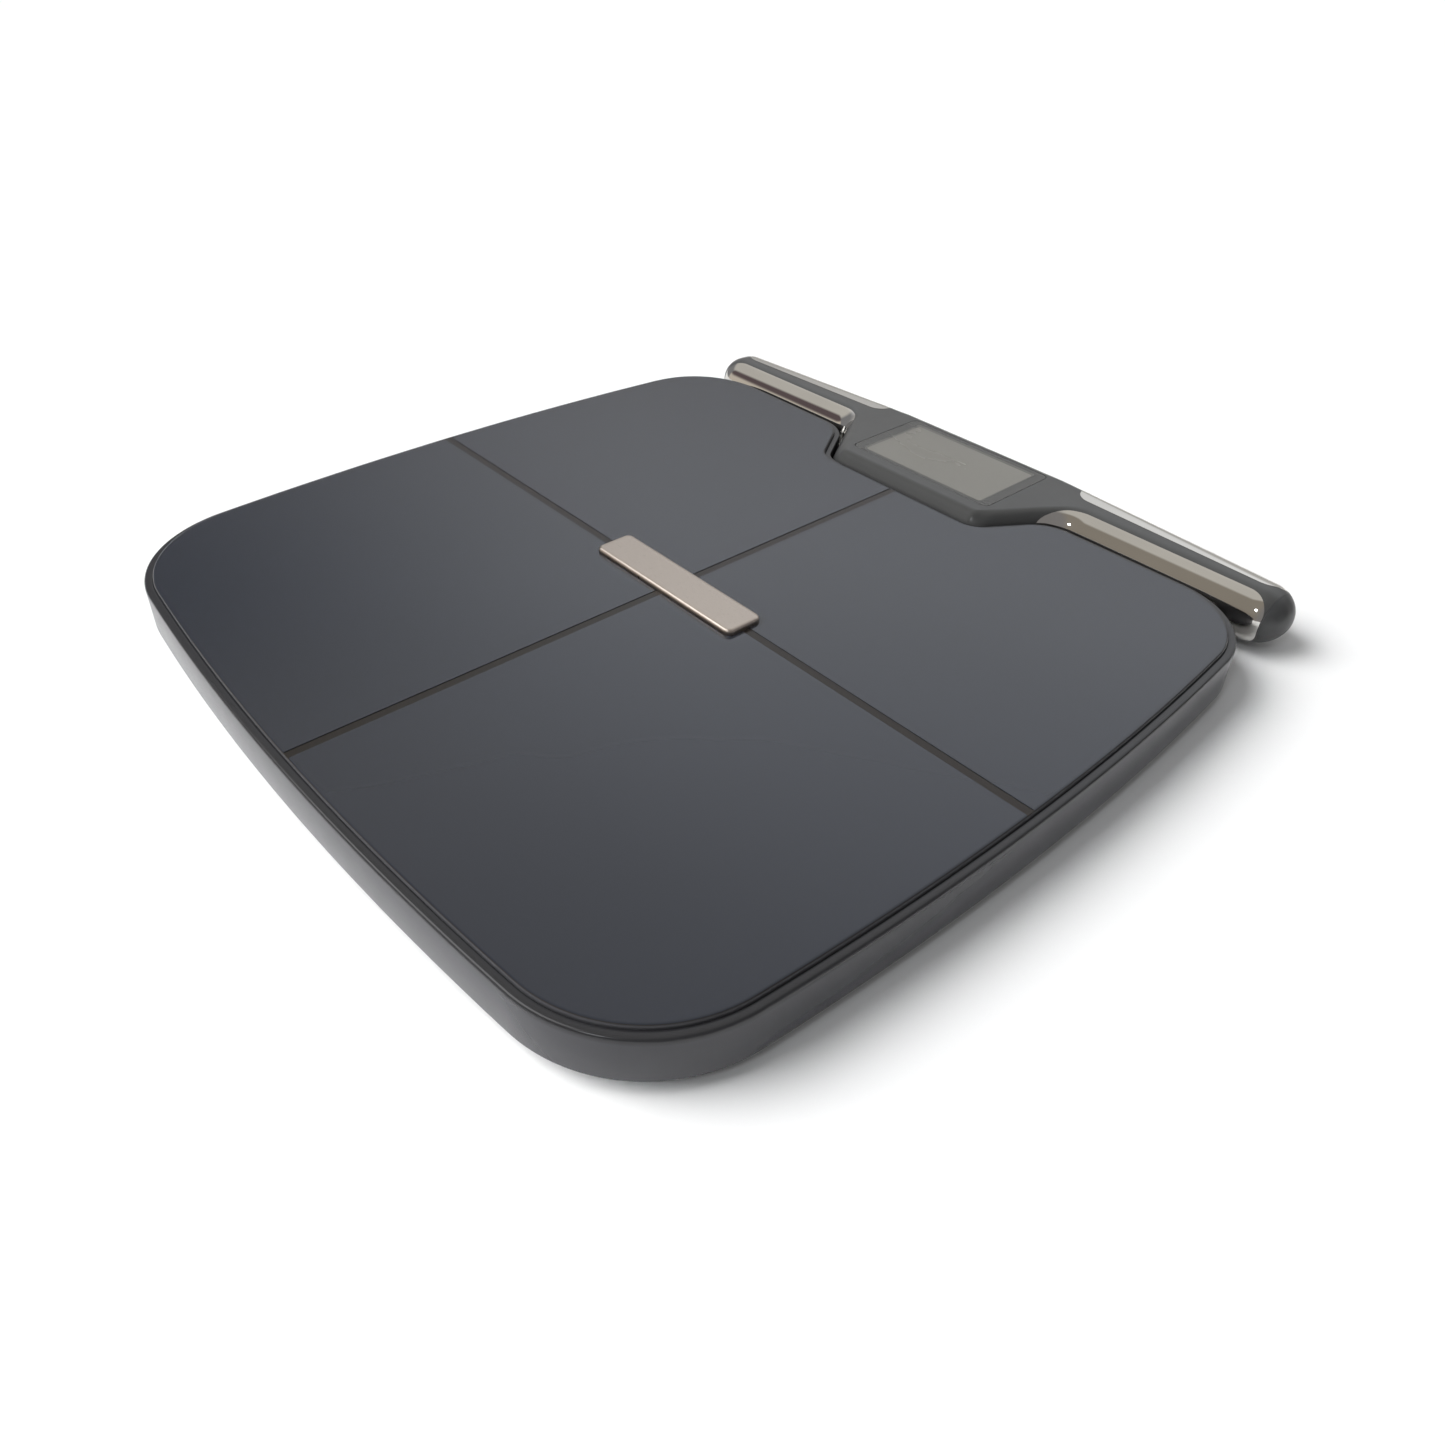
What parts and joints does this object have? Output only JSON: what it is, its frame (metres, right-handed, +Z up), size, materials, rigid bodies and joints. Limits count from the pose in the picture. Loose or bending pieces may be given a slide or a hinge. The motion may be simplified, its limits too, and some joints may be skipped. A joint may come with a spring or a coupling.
{
  "type": "digital bathroom scale",
  "caption": "Flat body-composition bathroom scale: glass platform with foot electrodes and a docked handle unit that carries the display and hand electrodes.",
  "frame": {"origin": "on the floor, under the middle of the object's overall length and width", "axes": "+X along the handle to the right, +Y from the heel edge to the handle, +Z up"},
  "size_m": [0.3, 0.311, 0.0237],
  "materials": {
    "platform_glass": "polished, back-painted dark",
    "electrode_film": "polished conductive coating",
    "centre_plate": "satin, warm tint",
    "gasket": "matte",
    "frame": "satin grey",
    "base": "fine grain",
    "holder": "plain",
    "load_cell": "stamped",
    "foot": "plain",
    "foot_pad": "matte",
    "board": "solder mask",
    "switch": "plain",
    "button": "plain",
    "battery": "printed sleeve, no lettering",
    "contact": "nickel plated",
    "reel": "plain",
    "drum": "plain",
    "spring": "blued",
    "gland": "matte",
    "screws": "zinc plated",
    "dock_pad": "matte",
    "handle_top": "fine grain, greenish grey",
    "handle_bottom": "fine grain",
    "end_cap": "fine grain",
    "chrome": "mirror",
    "lens": "polished",
    "lcd": "matte polariser",
    "key": "plain"
  },
  "bodies": {
    "platform": {"glass_top": "platform_glass", "toe_electrode_left": "electrode_film", "toe_electrode_right": "electrode_film", "heel_electrode_left": "electrode_film", "heel_electrode_right": "electrode_film", "centre_plate": "centre_plate", "glass_gasket": "gasket", "top_frame": "frame", "base_cover": "base", "cell_holder_toe_left": "holder", "cell_holder_toe_right": "holder", "cell_holder_heel_left": "holder", "cell_holder_heel_right": "holder", "load_cell_toe_left": "load_cell", "load_cell_toe_right": "load_cell", "load_cell_heel_left": "load_cell", "load_cell_heel_right": "load_cell", "foot_toe_left": "foot", "foot_toe_right": "foot", "foot_heel_left": "foot", "foot_heel_right": "foot", "foot_pad_toe_left": "foot_pad", "foot_pad_toe_right": "foot_pad", "foot_pad_heel_left": "foot_pad", "foot_pad_heel_right": "foot_pad", "main_board": "board", "unit_switch": "switch", "battery_tray": "base", "battery_1": "battery", "battery_2": "battery", "battery_3": "battery", "battery_4": "battery", "battery_springs": "contact", "battery_plates": "contact", "reel_housing": "reel", "reel_cover": "reel", "reel_axle": "screws", "reel_spring": "spring", "cord_gland": "gland", "base_screws": "screws", "dock_pads": "dock_pad"},
    "handle": {"handle_top_shell": "handle_top", "handle_bottom_shell": "handle_bottom", "end_cap_left": "end_cap", "end_cap_right": "end_cap", "front_electrode_left": "chrome", "front_electrode_right": "chrome", "rear_electrode_left": "chrome", "rear_electrode_right": "chrome", "display_lens": "lens", "lcd_panel": "lcd", "handle_chassis": "holder", "handle_board": "board", "handle_screws": "screws"},
    "battery_door": {"battery_door": "base"},
    "unit_button": {"unit_button": "button"},
    "reel_drum": {"reel_drum": "drum"},
    "power_key": {"power_key": "key"},
    "up_key": {"up_key": "key"},
    "down_key": {"down_key": "key"}
  },
  "joints": [
    {"name": "handle_lift", "type": "slide", "parent": "platform", "child": "handle", "axis": [0, 0, 1], "range_m": [0, 0.08]},
    {"name": "reel_turn", "type": "hinge", "parent": "platform", "child": "reel_drum", "pos_m": [0, 0.048, 0.01], "axis": [0, 0, 1], "range_deg": [0, 210]},
    {"name": "battery_door_slide", "type": "slide", "parent": "platform", "child": "battery_door", "axis": [0, -1, 0], "range_m": [0, 0.064]},
    {"name": "unit_button_press", "type": "slide", "parent": "platform", "child": "unit_button", "axis": [0, 0, 1], "range_m": [0, 0.0005], "stiffness_N_per_m": 250},
    {"name": "power_key_press", "type": "slide", "parent": "handle", "child": "power_key", "axis": [0, -1, 0], "range_m": [0, 0.0008], "stiffness_N_per_m": 250},
    {"name": "up_key_press", "type": "slide", "parent": "handle", "child": "up_key", "axis": [0, -1, 0], "range_m": [0, 0.0008], "stiffness_N_per_m": 250},
    {"name": "down_key_press", "type": "slide", "parent": "handle", "child": "down_key", "axis": [0, -1, 0], "range_m": [0, 0.0008], "stiffness_N_per_m": 250}
  ],
  "couplings": [
    {"joint": "reel_turn", "follows": "handle_lift", "rad_per_m": 45.45}
  ]
}
